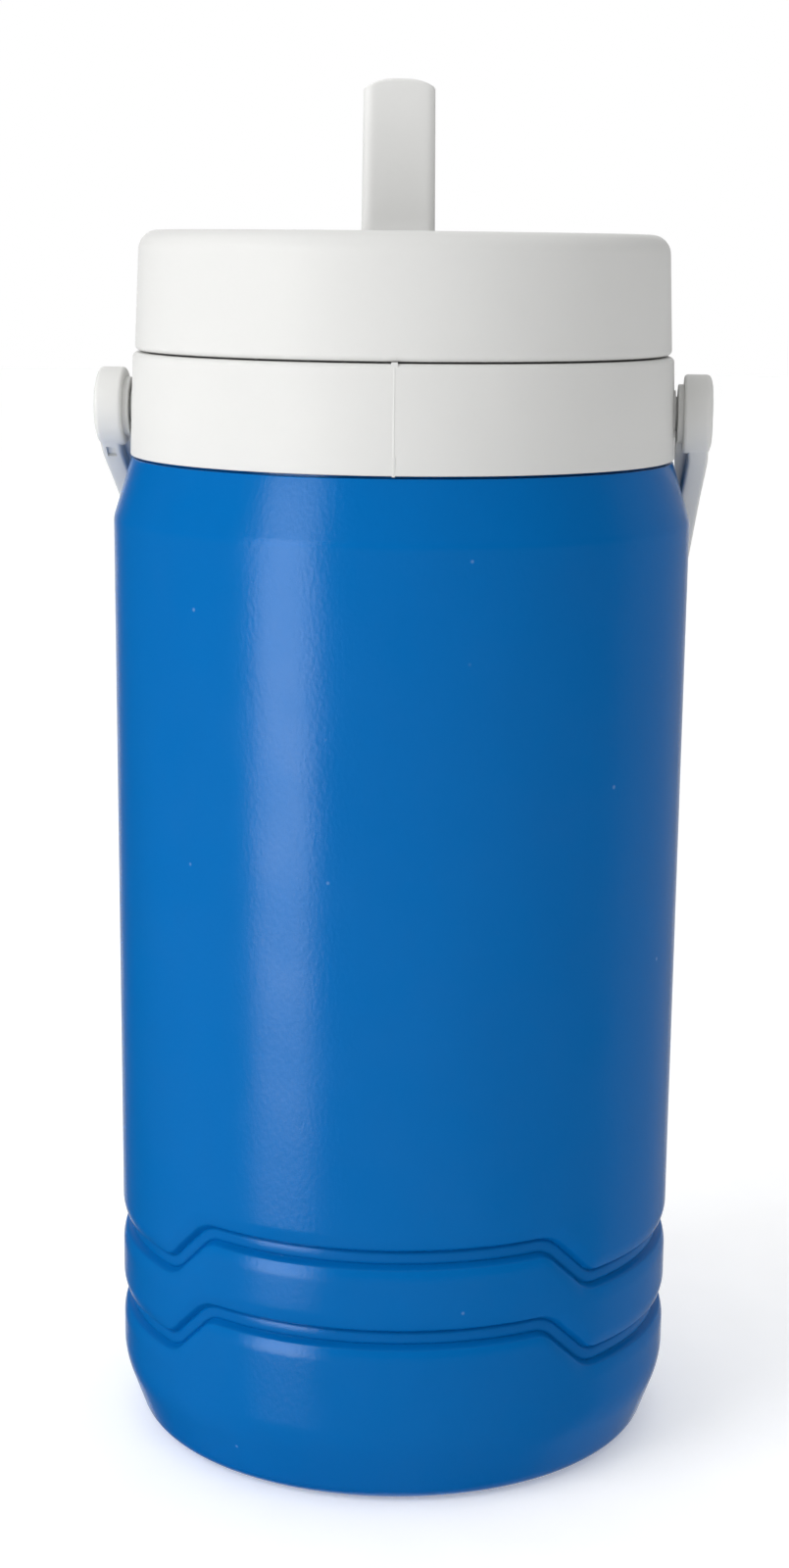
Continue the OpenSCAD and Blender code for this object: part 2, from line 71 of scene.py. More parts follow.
collar_low, collar_high = mm_box("collar")
lid_low, lid_high = mm_box("lid_cover")
spout_high = mm_box("spout")[1]
bail_high = mm_box("bail_handle")[1]

pivot_z = joint("bail_swing")["pos_m"][2] / MM
hinge = Vector(joint("spout_flip")["pos_m"]) / MM
hinge_axis = Vector(joint("spout_flip")["axis"])
lid_turn = math.atan2(hinge_axis.y, hinge_axis.x)
hinge_y = math.hypot(hinge.x, hinge.y)

COLLAR_Z = collar_low.z
COLLAR_TOP = collar_high.z
COLLAR_R = collar_high.y
LID_Z = lid_low.z
LID_TOP = lid_high.z
LID_R = lid_high.y
TIP_Z = spout_high.z


# ---------------------------------------------------------------- outlines

def arc_corner(a, b, c, radius, steps):
    """Points of the arc that rounds corner b of an outline running a, b, c."""
    a, b, c = Vector(a), Vector(b), Vector(c)
    u, v = (a - b).normalized(), (c - b).normalized()
    half = u.angle(v) / 2
    centre = b + (u + v).normalized() * radius / math.sin(half)
    first = b + u * radius / math.tan(half) - centre
    last = b + v * radius / math.tan(half) - centre
    start = math.atan2(first.y, first.x)
    turn = math.atan2(last.y, last.x) - start
    turn = (turn + math.pi) % (2 * math.pi) - math.pi
    return [
        (centre.x + radius * math.cos(start + turn * i / steps),
         centre.y + radius * math.sin(start + turn * i / steps))
        for i in range(steps + 1)
    ]


def rounded(points, steps=8, closed=True):
    """An outline from (x, y, corner radius) points."""
    out = []
    n = len(points)
    for i, (x, y, radius) in enumerate(points):
        if radius == 0 or (not closed and i in (0, n - 1)):
            out.append((x, y))
            continue
        before, after = points[i - 1], points[(i + 1) % n]
        out += arc_corner(before[:2], (x, y), after[:2], radius, steps)
    return out


def subdivided(line, longest):
    """The same line with extra points, so that no run is longer than longest."""
    out = [line[0]]
    for a, b in zip(line, line[1:]):
        count = max(1, math.ceil(math.dist(a, b) / longest))
        out += [tuple(p + (q - p) * k / count for p, q in zip(a, b)) for k in range(1, count + 1)]
    return out


def smooth(x):
    """0 up to x = 0 and 1 from x = 1, with an S-shaped rise between."""
    x = min(max(x, 0.0), 1.0)
    return x * x * (3 - 2 * x)


# ---------------------------------------------------------------- meshes

def new_piece(name, bm, crease=35):
    """A mesh object from bm, whose points are in millimetres, shaded smooth up to the crease angle."""
    bmesh.ops.recalc_face_normals(bm, faces=bm.faces)
    bmesh.ops.scale(bm, vec=(MM, MM, MM), verts=bm.verts)
    mesh = bpy.data.meshes.new(name)
    bm.to_mesh(mesh)
    bm.free()
    mesh.shade_smooth()
    mesh.set_sharp_from_angle(angle=math.radians(crease))
    piece = bpy.data.objects.new(name, mesh)
    bpy.context.scene.collection.objects.link(piece)
    return piece


def skin(bm, rings, loop=True, caps=True):
    """Faces between neighbouring rings of vertices. The last ring joins the first, or both get caps."""
    rows = [[bm.verts.new(p) for p in ring] for ring in rings]
    n = len(rows[0])
    pairs = list(zip(rows, rows[1:]))
    if loop:
        pairs.append((rows[-1], rows[0]))
    for a, b in pairs:
        for k in range(n):
            m = (k + 1) % n
            bm.faces.new((a[k], a[m], b[m], b[k]))
    if caps and not loop:
        bm.faces.new(rows[0])
        bm.faces.new(rows[-1])


def lathe(name, outline, angles=360, shape=None, crease=35):
    """A closed outline of (radius, height) turned about Z. Points on the axis become flat caps.
    shape(radius, height, angle) may move a point."""
    if isinstance(angles, int):
        angles = [2 * math.pi * k / angles for k in range(angles)]
    on_axis = [i for i, (r, _) in enumerate(outline) if r < 1e-6]
    line = [p for p in outline if p[0] >= 1e-6]
    if on_axis:
        turn = (on_axis[-1] + 1) % len(outline)
        line = [p for p in outline[turn:] + outline[:turn] if p[0] >= 1e-6]
    rings = []
    for r, z in line:
        ring = []
        for angle in angles:
            radius, height = shape(r, z, angle) if shape else (r, z)
            ring.append((radius * math.cos(angle), radius * math.sin(angle), height))
        rings.append(ring)
    bm = bmesh.new()
    skin(bm, rings, loop=not on_axis)
    return new_piece(name, bm, crease)


def block(name, low, high):
    """A box between two corners, for cutting and joining."""
    bm = bmesh.new()
    bmesh.ops.create_cube(bm, size=1)
    size = Vector(high) - Vector(low)
    bmesh.ops.scale(bm, vec=size, verts=bm.verts)
    bmesh.ops.translate(bm, vec=(Vector(high) + Vector(low)) / 2, verts=bm.verts)
    return new_piece(name, bm)


def rod(name, radius, start, end, sides=64):
    """A round rod between two points, for cutting and joining."""
    start, end = Vector(start), Vector(end)
    run = end - start
    place = Matrix.Translation((start + end) / 2) @ run.to_track_quat("Z", "Y").to_matrix().to_4x4()
    bm = bmesh.new()
    bmesh.ops.create_cone(bm, cap_ends=True, segments=sides, radius1=radius, radius2=radius,
                          depth=run.length, matrix=place)
    return new_piece(name, bm)


def baked(piece, crease):
    """Replaces the piece's mesh by what its modifiers make of it."""
    bpy.context.view_layer.update()
    graph = bpy.context.evaluated_depsgraph_get()
    mesh = bpy.data.meshes.new_from_object(piece.evaluated_get(graph))
    piece.modifiers.clear()
    old, piece.data = piece.data, mesh
    bpy.data.meshes.remove(old)
    mesh.shade_smooth()
    mesh.set_sharp_from_angle(angle=math.radians(crease))


def combine(piece, tools, operation, crease=35):
    """Joins the tools to the piece (UNION) or cuts them away (DIFFERENCE), one after the other."""
    for tool in tools:
        boolean = piece.modifiers.new("combine", "BOOLEAN")
        boolean.operation = operation
        boolean.solver = "EXACT"
        boolean.object = tool
        baked(piece, crease)
        bpy.data.objects.remove(tool)


def bevelled(piece, width, crease=35, segments=3):
    """Rounds the piece's edges that are sharper than the crease angle."""
    bevel = piece.modifiers.new("bevel", "BEVEL")
    bevel.limit_method = "ANGLE"
    bevel.angle_limit = math.radians(crease)
    bevel.width = width * MM
    bevel.segments = segments
    bevel.miter_outer = "MITER_ARC"
    baked(piece, crease)


def placed(piece, matrix):
    """Moves the piece's mesh, while its origin stays at the jug's."""
    piece.data.transform(matrix)


# ---------------------------------------------------------------- materials

def node_material(name):
    """A material with its principled shader and its object coordinates."""
    material = bpy.data.materials.new(name)
    material.use_nodes = True
    nodes, links = material.node_tree.nodes, material.node_tree.links
    nodes.clear()
    out = nodes.new("ShaderNodeOutputMaterial")
    shader = nodes.new("ShaderNodeBsdfPrincipled")
    coords = nodes.new("ShaderNodeTexCoord")
    links.new(shader.outputs["BSDF"], out.inputs["Surface"])
    return material, nodes, links, shader, coords.outputs["Object"]


def noise(nodes, links, coords, scale, detail=2.0, roughness=0.5, stretch=None):
    """Noise whose scale is in cells per metre. stretch lengthens it along an axis."""
    if stretch:
        mapping = nodes.new("ShaderNodeMapping")
        mapping.inputs["Scale"].default_value = stretch
        links.new(coords, mapping.inputs["Vector"])
        coords = mapping.outputs["Vector"]
    texture = nodes.new("ShaderNodeTexNoise")
    texture.inputs["Scale"].default_value = scale
    texture.inputs["Detail"].default_value = detail
    texture.inputs["Roughness"].default_value = roughness
    links.new(coords, texture.inputs["Vector"])
    return texture.outputs["Fac"]


def ramp(nodes, links, value, stops):
    """A colour ramp through (position, colour) stops."""
    node = nodes.new("ShaderNodeValToRGB")
    while len(node.color_ramp.elements) < len(stops):
        node.color_ramp.elements.new(0.5)
    for element, (position, colour) in zip(node.color_ramp.elements, stops):
        element.position = position
        element.color = (*colour, 1)
    links.new(value, node.inputs["Fac"])
    return node.outputs["Color"]


def ranged(nodes, links, value, low, high, from_low=0.0, from_high=1.0):
    """The value socket, stretched from one range onto another and held at its ends."""
    node = nodes.new("ShaderNodeMapRange")
    node.inputs["From Min"].default_value = from_low
    node.inputs["From Max"].default_value = from_high
    node.inputs["To Min"].default_value = low
    node.inputs["To Max"].default_value = high
    links.new(value, node.inputs["Value"])
    return node.outputs["Result"]


def product(nodes, links, a, b):
    """The product of two sockets."""
    node = nodes.new("ShaderNodeMath")
    node.operation = "MULTIPLY"
    links.new(a, node.inputs[0])
    links.new(b, node.inputs[1])
    return node.outputs["Value"]


def specks(nodes, links, coords, scale, size):
    """1 in small scattered dots and 0 elsewhere. Scale is in cells per metre, and size in cells."""
    cells = nodes.new("ShaderNodeTexVoronoi")
    cells.inputs["Scale"].default_value = scale
    links.new(coords, cells.inputs["Vector"])
    dot = ranged(nodes, links, cells.outputs["Distance"], 1, 0, size * 0.5, size)
    # Only the cells whose random colour is near one end carry a dot
    pick = nodes.new("ShaderNodeSeparateColor")
    links.new(cells.outputs["Color"], pick.inputs["Color"])
    chosen = ranged(nodes, links, pick.outputs["Red"], 0, 1, 0.88, 0.9)
    return product(nodes, links, dot, chosen)


def mixed(nodes, links, factor, a, b):
    """Mixes socket a towards the plain colour b."""
    node = nodes.new("ShaderNodeMix")
    node.data_type = "RGBA"
    links.new(factor, node.inputs[0])
    links.new(a, node.inputs[6])
    node.inputs[7].default_value = (*b, 1)
    return node.outputs[2]


def bumped(nodes, links, shader, layers):
    """Chains bumps from (height socket, depth in metres) layers into the shader's normal."""
    normal = None
    for height, distance in layers:
        bump = nodes.new("ShaderNodeBump")
        bump.inputs["Strength"].default_value = 1.0
        bump.inputs["Distance"].default_value = distance
        links.new(height, bump.inputs["Height"])
        if normal:
            links.new(normal, bump.inputs["Normal"])
        normal = bump.outputs["Normal"]
    links.new(normal, shader.inputs["Normal"])


BLUE_DEEP = (0.0, 0.115, 0.376)
BLUE_BRIGHT = (0.0, 0.123, 0.4)
BLUE_DUST = (0.35, 0.5, 0.72)
WHITE_DUST = (0.45, 0.44, 0.42)


def blue_shell_material():
    """Blow-moulded polyethylene: satin, with a fine grain, a little orange peel, dust and rubs."""
    material, nodes, links, shader, coords = node_material("blue_polyethylene")
    tone = noise(nodes, links, coords, 18, 3, 0.55, stretch=(1, 1, 0.35))
    colour = ramp(nodes, links, tone, [(0.3, BLUE_DEEP), (0.7, BLUE_BRIGHT)])
    dust = specks(nodes, links, coords, 95, 0.055)
    colour = mixed(nodes, links, ranged(nodes, links, dust, 0, 0.25), colour, BLUE_DUST)
    links.new(colour, shader.inputs["Base Color"])
    rub = noise(nodes, links, coords, 60, 4, 0.6)
    links.new(ranged(nodes, links, rub, 0.18, 0.24, 0.3, 0.7), shader.inputs["Roughness"])
    grain = noise(nodes, links, coords, 2600, 2, 0.6)
    peel = noise(nodes, links, coords, 1100, 2, 0.5, stretch=(1, 1, 0.6))
    sag = noise(nodes, links, coords, 45, 1, 0.4)
    bumped(nodes, links, shader, [(sag, 0.00017), (peel, 0.00004), (grain, 0.000006)])
    shader.inputs["Specular IOR Level"].default_value = 0.13
    return material


def white_material(name, colour, roughness, grain_depth):
    """Moulded polypropylene: off-white, satin, faintly uneven in tone and gloss."""
    material, nodes, links, shader, coords = node_material(name)
    tone = noise(nodes, links, coords, 25, 3, 0.5)
    darker = tuple(c * 0.975 for c in colour)
    shade = ramp(nodes, links, tone, [(0.35, darker), (0.65, colour)])
    dust = specks(nodes, links, coords, 130, 0.04)
    shade = mixed(nodes, links, ranged(nodes, links, dust, 0, 0.25), shade, WHITE_DUST)
    links.new(shade, shader.inputs["Base Color"])
    rub = noise(nodes, links, coords, 90, 3, 0.6)
    links.new(ranged(nodes, links, rub, roughness - 0.04, roughness + 0.05, 0.3, 0.7),
              shader.inputs["Roughness"])
    grain = noise(nodes, links, coords, 2200, 2, 0.5)
    peel = noise(nodes, links, coords, 300, 2, 0.5)
    bumped(nodes, links, shader, [(peel, grain_depth * 2), (grain, grain_depth)])
    shader.inputs["Subsurface Weight"].default_value = 0.08
    shader.inputs["Subsurface Radius"].default_value = (0.004, 0.004, 0.004)
    shader.inputs["Subsurface Scale"].default_value = 0.6
    shader.inputs["Specular IOR Level"].default_value = 0.06
    return material


def foam_material():
    """Poured polyurethane foam: open, yellowish cells."""
    material, nodes, links, shader, coords = node_material("poured_foam")
    cells = noise(nodes, links, coords, 900, 3, 0.7)
    links.new(ramp(nodes, links, cells, [(0.3, (0.62, 0.52, 0.3)), (0.7, (0.84, 0.76, 0.52))]),
              shader.inputs["Base Color"])
    links.new(ranged(nodes, links, cells, 0.7, 0.95), shader.inputs["Roughness"])
    bumped(nodes, links, shader, [(cells, 0.0002)])
    return material


def rubber_material():
    """Food-grade silicone: grey, matt and slightly translucent."""
    material, nodes, links, shader, coords = node_material("seal_silicone")
    tone = noise(nodes, links, coords, 140, 3, 0.5)
    links.new(ramp(nodes, links, tone, [(0.3, (0.5, 0.5, 0.48)), (0.7, (0.56, 0.56, 0.54))]),
              shader.inputs["Base Color"])
    links.new(ranged(nodes, links, tone, 0.5, 0.62), shader.inputs["Roughness"])
    bumped(nodes, links, shader, [(noise(nodes, links, coords, 1500, 2), 0.00002)])
    shader.inputs["Subsurface Weight"].default_value = 0.1
    return material


FLOOR_R = 6000
FLOOR_GLOW = 0.3


def floor_material():
    """Pale seamless paper, lit from within a little so that it stays pale in the distance."""
    material, nodes, links, shader, coords = node_material("studio_paper")
    fibre = noise(nodes, links, coords, 60, 3, 0.6)
    links.new(ramp(nodes, links, fibre, [(0.3, (0.84, 0.84, 0.84)), (0.7, (0.87, 0.87, 0.87))]),
              shader.inputs["Base Color"])
    links.new(ranged(nodes, links, fibre, 0.75, 0.85), shader.inputs["Roughness"])
    shader.inputs["Emission Color"].default_value = (1, 1, 1, 1)
    shader.inputs["Emission Strength"].default_value = FLOOR_GLOW
    # Its glow is met only by bounced rays, so that nothing glossy mirrors it
    material.cycles.emission_sampling = "NONE"
    return material


BLUE = blue_shell_material()
WHITE = white_material("white_polypropylene", (0.665, 0.665, 0.652), 0.42, 0.000012)
# The spout's white is the lid's plastic painted lighter: its extra brightness is painted light, not a
# different colour.
SPOUT_WHITE_PAINTED_BRIGHTER = white_material("spout_polypropylene_painted_brighter", (0.75, 0.75, 0.738), 0.38, 0.00001)
LINER_WHITE = white_material("liner_polyethylene", (0.82, 0.82, 0.81), 0.3, 0.000006)
FOAM = foam_material()
RUBBER = rubber_material()


def finish_piece(piece, material, body, slot, *nodes):
    """Gives a rebuilt piece its material and its body, and hides the CAD nodes it stands for. The slot is
    not used.
    """
    piece.data.materials.clear()
    piece.data.materials.append(material)
    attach(piece, body)
    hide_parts(*nodes)


# ---------------------------------------------------------------- outer shell

BODY_R = 68.2           # at the shoulder
BODY_LOW_R = 67.4       # above the heel
SHOULDER_Z = 222.6
SHOULDER_ROUND = 7
LOW_WALL_Z = 62         # height from which the wall widens towards the shoulder
HEEL_R = BODY_LOW_R - 0.1
HEEL_Z = 15.7
HEEL_ROUND = 22
BASE_R = 61.6
BASE_ROUND = 5.8
FOOT_R = 45
FOOT_ROUND = 0.6
FILL_HOLE_R = 12
BASE_RECESS = 1.5
SHELL_WALL = 2.6
SHELL_FLOOR = 4.3
SHELL_NECK_R = 58.5
SHELL_NECK_TOP = 256
LEDGE_Z = COLLAR_Z - 0.2
LEDGE_R = COLLAR_R - 0.3
REVEAL = 0.4            # height of the shadow line under the collar
REVEAL_DEPTH = 1.6

UPPER_GROOVE_Z = 61.0
GROOVE_SPACING = 19.2
GROOVE_STEP = 11.2
RAISED_TO = 36.5        # degrees from the front, or the back, where the ramp down starts
LOWERED_FROM = 47.5     # degrees where it ends
BEND = 2.4              # degrees each side of those over which the groove bends
GROOVE_DEPTH = 2.0
FLOOR_HALF = 1.55       # half the width of a groove's flat floor
CREASE_W = 0.3          # of the crease along each edge of that floor
CREASE_DEPTH = 0.4
LIP_AT = 2.65           # distance from a groove's middle where its side ends and its lip starts
LIP_DEPTH = 0.62
LIP_REACH = 6.0         # distance from a groove's middle where its lip has faded out
GROOVE_ZONE = (20.0, 78.0)      # heights between which the rows of the mesh follow the grooves
PLAIN_ROWS = 3                  # rows on each stretch of plain wall in that zone
SHELL_COLUMNS = 600


def outer_wall():
    """(radius, height) points up the outside, from the fill hole to under the collar."""
    return rounded([
        (FILL_HOLE_R, BASE_RECESS, 0),
        (FOOT_R, BASE_RECESS, FOOT_ROUND),
        (FOOT_R + BASE_RECESS, 0, FOOT_ROUND),
        (BASE_R, 0, BASE_ROUND),
        (HEEL_R, HEEL_Z, HEEL_ROUND),
        (BODY_LOW_R, LOW_WALL_Z, 0),
        (BODY_R, SHOULDER_Z, SHOULDER_ROUND),
        (LEDGE_R, LEDGE_Z - REVEAL, 0.3),
        (LEDGE_R - REVEAL_DEPTH, LEDGE_Z - REVEAL, 0),
        (LEDGE_R - REVEAL_DEPTH, LEDGE_Z, 0),
        (SHELL_NECK_R, LEDGE_Z, 0),
        (SHELL_NECK_R, SHELL_NECK_TOP, 0),
    ], steps=14, closed=False)


def inner_wall():
    """(radius, height) points back down the inside to the fill hole."""
    return rounded([
        (SHELL_NECK_R - SHELL_WALL, SHELL_NECK_TOP, 0),
        (SHELL_NECK_R - SHELL_WALL, LEDGE_Z - SHELL_WALL, 0),
        (LEDGE_R - 2, LEDGE_Z - SHELL_WALL, 2),
        (BODY_R - SHELL_WALL, SHOULDER_Z, 5),
        (BODY_LOW_R - SHELL_WALL, HEEL_Z + 0.5, 18),
        (BASE_R - 1.8, SHELL_FLOOR, 3),
        (FILL_HOLE_R, SHELL_FLOOR, 0),
    ], steps=5, closed=False)


def eased(x, bend):
    """x above the bend and 0 below it, with a parabola between."""
    if x <= -bend:
        return 0.0
    return x if x >= bend else (x + bend) ** 2 / (4 * bend)


def groove_drop(angle):
    """How far a groove has dropped at an angle round the wall (0 to 1), and its path's slope there."""
    from_front = abs(math.degrees(angle) % 180 - 90)

    def drop(a):
        return (eased(a - RAISED_TO, BEND) - eased(a - LOWERED_FROM, BEND)) / (LOWERED_FROM - RAISED_TO)

    small = 0.05
    per_degree = (drop(from_front + small) - drop(from_front - small)) / (2 * small)
    slope = GROOVE_STEP * per_degree / (BODY_LOW_R * math.pi / 180)
    return drop(from_front), slope


def groove_section(t):
    """Depth of a groove at distance t across it: a flat floor, steep sides and soft lips."""
    t = abs(t)
    crease = CREASE_DEPTH * math.exp(-((t - FLOOR_HALF) / CREASE_W) ** 2)
    if t <= LIP_AT:
        wall = smooth((t - FLOOR_HALF) / (LIP_AT - FLOOR_HALF))
        return GROOVE_DEPTH + crease + (LIP_DEPTH - GROOVE_DEPTH) * wall
    return LIP_DEPTH * max(0.0, 1 - (t - LIP_AT) / (LIP_REACH - LIP_AT)) ** 2


def groove_stations():
    """Distances across a groove where the mesh has a row."""
    floor = [FLOOR_HALF * share for share in (0.5, 0.75, 0.88, 1)]
    wall = [FLOOR_HALF + (LIP_AT - FLOOR_HALF) * k / 7 for k in range(1, 8)]
    lip = [LIP_AT + (LIP_REACH - LIP_AT) * k / 8 for k in range(1, 9)]
    side = floor + wall + lip
    return [-t for t in reversed(side)] + [0.0] + side


def plain_rows(z0, z1):
    """(height, depth) rows of plain wall between two heights."""
    return [(z0 + (z1 - z0) * k / (PLAIN_ROWS + 1), 0.0) for k in range(1, PLAIN_ROWS + 1)]


def grooved_rows(angle):
    """(height, depth) rows up the zone of the two grooves, at an angle round the body."""
    drop, slope = groove_drop(angle)
    stretch = math.hypot(1, slope)
    upper_z = UPPER_GROOVE_Z - GROOVE_STEP * drop
    lower, upper = [
        [(groove_z + t * stretch, groove_section(t)) for t in groove_stations()]
        for groove_z in (upper_z - GROOVE_SPACING, upper_z)
    ]
    low, high = GROOVE_ZONE
    rows = plain_rows(low, lower[0][0]) + lower
    rows += plain_rows(lower[-1][0], upper[0][0]) + upper
    return rows + plain_rows(upper[-1][0], high)


def wall_radius(line, z):
    """The radius at height z of a wall, given as (radius, height) points from the foot up."""
    for (r0, z0), (r1, z1) in zip(line, line[1:]):
        if z0 <= z <= z1 and z1 > z0:
            return r0 + (r1 - r0) * (z - z0) / (z1 - z0)
    raise ValueError(f"the wall has no point at height {z}")


def make_outer_shell():
    wall = outer_wall()
    low, high = GROOVE_ZONE
    below = subdivided([p for p in wall if p[1] <= low], 4) + [(wall_radius(wall, low), low)]
    above = subdivided([(wall_radius(wall, high), high)] + [p for p in wall if p[1] > high], 9)
    inside = inner_wall()
    angles = [2 * math.pi * k / SHELL_COLUMNS for k in range(SHELL_COLUMNS)]
    columns = []
    for angle in angles:
        grooved = [(wall_radius(wall, z) - depth, z) for z, depth in grooved_rows(angle)]
        columns.append(below + grooved + above + inside)
    rings = [
        [(r * math.cos(angle), r * math.sin(angle), z) for (r, z), angle in zip(row, angles)]
        for row in zip(*columns)
    ]
    bm = bmesh.new()
    skin(bm, rings)
    shell = new_piece("outer_shell_skin", bm, crease=50)
    finish_piece(shell, BLUE, "jug_body", "blue_shell", "outer_shell")


# ---------------------------------------------------------------- collar

COLLAR_WALL = 2.6
COLLAR_TAPER = 0.7
COLLAR_DECK = 2.4
COLLAR_MOUTH_R = 47.3
SEAM_ANGLE = math.radians(-87.6)
SEAM_W = 0.16
SEAM_RISE = 0.09
SEAM_STEP = 0.06        # degrees between the columns that shape the seam
SEAM_COLUMNS = 12       # of those on each side of its middle
NIB_W = 1.4
NIB_RISE = 0.35
PAD_R = 5.5
PAD_X = 64.1
BORE_R = 4.05


def collar_angles():
    """Angles of the columns: close together at the seam and about a degree apart elsewhere."""
    close = [k * SEAM_STEP for k in range(-SEAM_COLUMNS, SEAM_COLUMNS + 1)]
    apart = [1 + k * 358 / 357 for k in range(358)]
    return sorted((SEAM_ANGLE + math.radians(a)) % (2 * math.pi) for a in close + apart)


def make_collar():
    inner_r = COLLAR_R - COLLAR_WALL
    top_r = COLLAR_R - COLLAR_TAPER
    deck = COLLAR_TOP - COLLAR_DECK
    outline = rounded([
        (COLLAR_R, COLLAR_Z, 0.3),
        (top_r, COLLAR_TOP, 1.2),
        (COLLAR_MOUTH_R, COLLAR_TOP, 0.5),
        (COLLAR_MOUTH_R, deck, 0),
        (inner_r, deck, 0.6),
        (inner_r, COLLAR_Z, 0),
    ], steps=6)

    def seam(r, z, angle):
        off = (angle - SEAM_ANGLE + math.pi) % (2 * math.pi) - math.pi
        ridge = SEAM_RISE * math.exp(-((off * r / SEAM_W) ** 2)) if r > inner_r + 0.5 else 0
        return r + ridge, z

    collar = lathe("collar_skin", outline, collar_angles(), seam)
    pads = [
        rod("pad", PAD_R, (side * (inner_r + 1), 0, pivot_z), (side * PAD_X, 0, pivot_z))
        for side in (-1, 1)
    ]
    # The marks that the mould's gate left at both ends of the seam
    nib = block("nib", (COLLAR_R - 1.8, -NIB_W / 2, COLLAR_TOP - 1),
                (top_r - 0.05, NIB_W / 2, COLLAR_TOP + NIB_RISE))
    tail = block("tail", (COLLAR_R - 1, -NIB_W / 4, COLLAR_Z - NIB_RISE / 2),
                 (COLLAR_R, NIB_W / 4, COLLAR_Z + 4))
    for gate_mark in (nib, tail):
        placed(gate_mark, Matrix.Rotation(SEAM_ANGLE, 4, "Z"))
    combine(collar, pads + [nib, tail], "UNION")
    reach = COLLAR_R + 9
    bore = rod("bore", BORE_R, (-reach, 0, pivot_z), (reach, 0, pivot_z))
    combine(collar, [bore], "DIFFERENCE")
    finish_piece(collar, WHITE, "jug_body", "white_plastic", "collar")


# ---------------------------------------------------------------- bail

BAIL_HANG = math.radians(-40)   # from straight back
ARM_X = 72.15
ARM_TOE = 0.25          # how far the arm's end leans in at the pivot
ARM_STRAIGHT = 8        # distance from the pivots where it starts to lean in for good
ARM_LEAN = 0.062
ARM_BEND = 40
STRAP_T = 4.8
STRAP_HALF_W = 7.15
STRAP_EDGE = 0.8
STRAP_FLARE = 1.5
FLARE_END = 30          # distance from the pivots where the flare has gone
GRIP_OUT = 101.2
GRIP_BEND = 30
ARM_POCKET_W = 2.1
ARM_POCKET_DEPTH = 0.9
ARM_POCKET = (5, 9)     # distances from the pivots between which it lies
WEB_X = 64.5
WEB_HALF_W = 5
WEB_STRAIGHT = 14
WEB_END = 26
HUB_R = 6.9
HUB_X = 64.6
DISC_R = 9.2
DISC_IN = 66.0
DISC_OUT = 72.1
DISC_TOP = bail_high.x
DISC_DOME = 2.2         # how far its crown narrows
STUD_R = 4.0
STUD_LENGTH = 6.4
STUD_TIP_R = 3.9
BARB_R = 4.8
BARB_TAPER = 0.9
BARB_LENGTH = 1.5


def strap_path():
    """Points (x, distance from the pivots) down the middle of the right half of the strap."""
    middle = STRAP_T / 2
    grip_x = ARM_X - ARM_LEAN * (GRIP_OUT - ARM_STRAIGHT)
    corners = [
        (ARM_X - middle - ARM_TOE, 0, 0),
        (ARM_X - middle, ARM_STRAIGHT, ARM_BEND),
        (grip_x - middle, GRIP_OUT - middle, GRIP_BEND - middle),
        (0, GRIP_OUT - middle, 0),
    ]
    return subdivided(rounded(corners, steps=20, closed=False), 2.5)


def strap_half_width(h):
    """The strap narrows from its discs to its even width."""
    return STRAP_HALF_W + STRAP_FLARE * (1 - smooth(h / FLARE_END))


def strap_section(half_w):
    """The strap's closed section as (outward, sideways) points."""
    half_t = STRAP_T / 2
    corners = [(half_t, half_w), (-half_t, half_w), (-half_t, -half_w), (half_t, -half_w)]
    return rounded([(n, w, STRAP_EDGE) for n, w in corners], steps=5)


def make_strap():
    """The bail's strap, in its own plane: X across, Y away from the pivots and Z sideways."""
    half = strap_path()
    path = half + [(-x, h) for x, h in reversed(half[:-1])]
    rings = []
    for i, (x, h) in enumerate(path):
        before, after = path[max(i - 1, 0)], path[min(i + 1, len(path) - 1)]
        along = Vector((after[0] - before[0], after[1] - before[1])).normalized()
        outward = Vector((along.y, -along.x))
        rings.append([
            (x + outward.x * n, h + outward.y * n, w)
            for n, w in strap_section(strap_half_width(h))
        ])
    bm = bmesh.new()
    skin(bm, rings, loop=False)
    return new_piece("bail_skin", bm)


def arm_pockets():
    """Cutters for the small moulded pockets in both edges of the arm at -X."""
    middle = ARM_X - STRAP_T / 2
    near, far = ARM_POCKET
    edge = strap_half_width((near + far) / 2)
    low = Vector((-middle - ARM_POCKET_W / 2, near, edge - ARM_POCKET_DEPTH))
    high = Vector((-middle + ARM_POCKET_W / 2, far, edge + 1))
    faces = (Vector((1, 1, 1)), Vector((1, 1, -1)))
    return [block("arm_pocket", low * face, high * face) for face in faces]


def arm_web(side):
    """The web inside an arm, from the hub out into the strap."""
    inside = ARM_X - STRAP_T
    outline = [
        (WEB_X, 0),
        (WEB_X, WEB_STRAIGHT),
        (inside - ARM_LEAN * (WEB_END - ARM_STRAIGHT), WEB_END),
        (inside + 1, WEB_END),
        (inside + 1, 0),
    ]
    bm = bmesh.new()
    skin(bm, [[(side * x, h, w) for x, h in outline] for w in (-WEB_HALF_W, WEB_HALF_W)], loop=False)
    return new_piece("arm_web", bm)


def bail_end(side):
    """An end disc with its hub and the stud that snaps into the collar."""
    tip = DISC_IN - STUD_LENGTH
    outline = rounded([
        (0, tip, 0),
        (STUD_TIP_R, tip, 0),
        (BARB_R, tip + BARB_TAPER, 0),
        (BARB_R, tip + BARB_LENGTH, 0),
        (STUD_R, tip + BARB_LENGTH, 0),
        (STUD_R, HUB_X, 0),
        (HUB_R, HUB_X, 0.4),
        (HUB_R, DISC_IN, 0),
        (DISC_R, DISC_IN, 0.9),
        (DISC_R, DISC_OUT, 1.3),
        (DISC_R - DISC_DOME, DISC_TOP, 3),
        (0, DISC_TOP, 0),
    ], steps=6)
    end = lathe("bail_end", outline, 96)
    turn = Matrix.Rotation(math.radians(90), 4, "Y")
    placed(end, turn if side == 1 else Matrix.Scale(-1, 4, (1, 0, 0)) @ turn)
    if side == -1:
        end.data.flip_normals()
    return end


